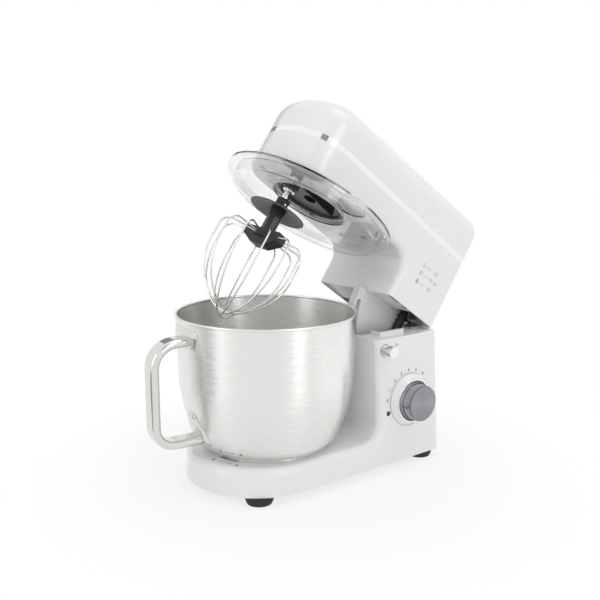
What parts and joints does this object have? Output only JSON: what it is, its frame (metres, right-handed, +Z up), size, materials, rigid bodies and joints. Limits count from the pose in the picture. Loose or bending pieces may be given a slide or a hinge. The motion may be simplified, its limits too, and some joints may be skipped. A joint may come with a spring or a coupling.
{
  "type": "stand mixer",
  "caption": "Tilt-head stand mixer with its head raised: planetary whisk, clear splash guard, steel bowl with a handle, speed dial and head release button.",
  "frame": {"origin": "on the counter, on the centre plane, 128 mm behind the front feet", "axes": "+Z up, -Y towards the nose of the head and the bowl handle, +X towards the speed dial"},
  "size_m": [0.2385, 0.4952, 0.4925],
  "materials": {
    "white_shell": "glossy white moulding",
    "white_inner": "satin white moulding",
    "chrome_trim": "mirror plated",
    "dial_aluminium": "turned and brushed",
    "bowl_steel": "brushed round the axis",
    "polished_steel": "polished",
    "clear_plastic": "clear moulding",
    "whisk_black": "fine matt moulding",
    "shield_grey": "fine matt moulding",
    "underside_grey": "satin moulding",
    "dish_grey": "satin moulding",
    "foot_rubber": "matt rubber",
    "sleeve_black": "matt sleeve",
    "cover_plastic": "fine matt moulding",
    "plain_steel": "bright drawn",
    "cast_frame": "as cast",
    "gear_plastic": "natural nylon",
    "bush_bronze": "sintered",
    "switch_plastic": "moulded"
  },
  "bodies": {
    "base": {"base_housing": "white_shell", "bottom_cover": "cover_plastic", "bottom_screws": "plain_steel", "suction_feet": "foot_rubber", "bowl_seat": "white_inner", "cord_gland": "sleeve_black", "dial_bezel": "white_shell", "rotary_switch": "switch_plastic", "control_board": "switch_plastic", "safety_switch": "switch_plastic", "plunger_guide": "white_inner", "hinge_brackets": "plain_steel", "hinge_pin": "plain_steel"},
    "dial": {"dial_knob": "dial_aluminium", "dial_cap": "dial_aluminium", "dial_shaft": "plain_steel"},
    "button": {"button_sleeve": "chrome_trim", "button_cap": "white_inner", "lock_plunger": "plain_steel", "button_spring": "plain_steel"},
    "head": {"head_lower_housing": "white_shell", "head_top_cover": "white_shell", "trim_band": "chrome_trim", "sector_guide": "white_inner", "yoke": "cast_frame", "hinge_bushes": "bush_bronze", "wire_sleeve": "sleeve_black", "underside_cover": "underside_grey", "head_screws": "plain_steel", "ring_gear": "gear_plastic", "drive_frame": "cast_frame", "drive_top_frame": "cast_frame", "ball_bearings": "plain_steel", "drive_belt": "sleeve_black", "motor_frame": "cast_frame", "motor_stator": "plain_steel", "motor_windings": "bush_bronze", "carbon_brushes": "switch_plastic"},
    "rotor": {"motor_shaft": "plain_steel", "armature": "plain_steel", "commutator": "bush_bronze", "cooling_fan": "gear_plastic", "motor_pulley": "cast_frame"},
    "input": {"input_shaft": "plain_steel", "input_pinion": "gear_plastic", "large_pulley": "cast_frame"},
    "carrier": {"planet_carrier": "dish_grey", "output_shaft": "plain_steel", "main_gear": "gear_plastic"},
    "tool": {"tool_shaft": "polished_steel", "planet_pinion": "gear_plastic", "cross_pin": "polished_steel"},
    "whisk": {"whisk_hub": "whisk_black", "shield_disc": "shield_grey", "whisk_wires": "polished_steel", "whisk_spring": "plain_steel"},
    "guard": {"splash_guard": "clear_plastic"},
    "bowl": {"bowl": "bowl_steel", "bowl_foot": "bowl_steel", "bowl_handle": "polished_steel"}
  },
  "joints": [
    {"name": "head_tilt", "type": "hinge", "parent": "base", "child": "head", "pos_m": [0, 0.154, 0.1894], "axis": [-1, 0, 0], "range_deg": [-35, 0]},
    {"name": "planet_spin", "type": "hinge", "parent": "head", "child": "carrier", "pos_m": [0, 0.00576, 0.36474], "axis": [0, 0.5736, 0.8192], "continuous": true},
    {"name": "tool_spin", "type": "hinge", "parent": "carrier", "child": "tool", "pos_m": [0, -0.02914, 0.3794], "axis": [0, 0.5736, 0.8192], "continuous": true},
    {"name": "input_spin", "type": "hinge", "parent": "head", "child": "input", "pos_m": [0, 0.079, 0.36473], "axis": [0, 0.5736, 0.8192], "continuous": true},
    {"name": "motor_spin", "type": "hinge", "parent": "head", "child": "rotor", "pos_m": [0, 0.15616, 0.26919], "axis": [0, 0.5736, 0.8192], "continuous": true},
    {"name": "whisk_push", "type": "slide", "parent": "tool", "child": "whisk", "axis": [0, 0.5736, 0.8192], "range_m": [0, 0.004], "stiffness_N_per_m": 800, "springref_m": -0.004, "deforming": ["whisk_spring"]},
    {"name": "speed_dial", "type": "hinge", "parent": "base", "child": "dial", "pos_m": [0.1, 0.1047, 0.0936], "axis": [-1, 0, 0], "range_deg": [-8, 134]},
    {"name": "release_button", "type": "slide", "parent": "base", "child": "button", "axis": [-1, 0, 0], "range_m": [0, 0.006], "stiffness_N_per_m": 600, "springref_m": -0.003, "deforming": ["button_spring"]},
    {"name": "bowl_twist", "type": "hinge", "parent": "base", "child": "bowl", "pos_m": [0, -0.068, 0.04], "axis": [0, 0, 1], "range_deg": [0, 24]},
    {"name": "splash_guard_twist", "type": "hinge", "parent": "head", "child": "guard", "pos_m": [0, 0.00175, 0.359], "axis": [0, 0.5736, 0.8192], "range_deg": [0, 15]}
  ],
  "couplings": [
    {"joint": "tool_spin", "follows": "planet_spin", "ratio": -4.5714},
    {"joint": "input_spin", "follows": "planet_spin", "ratio": -4},
    {"joint": "motor_spin", "follows": "planet_spin", "ratio": -16}
  ]
}
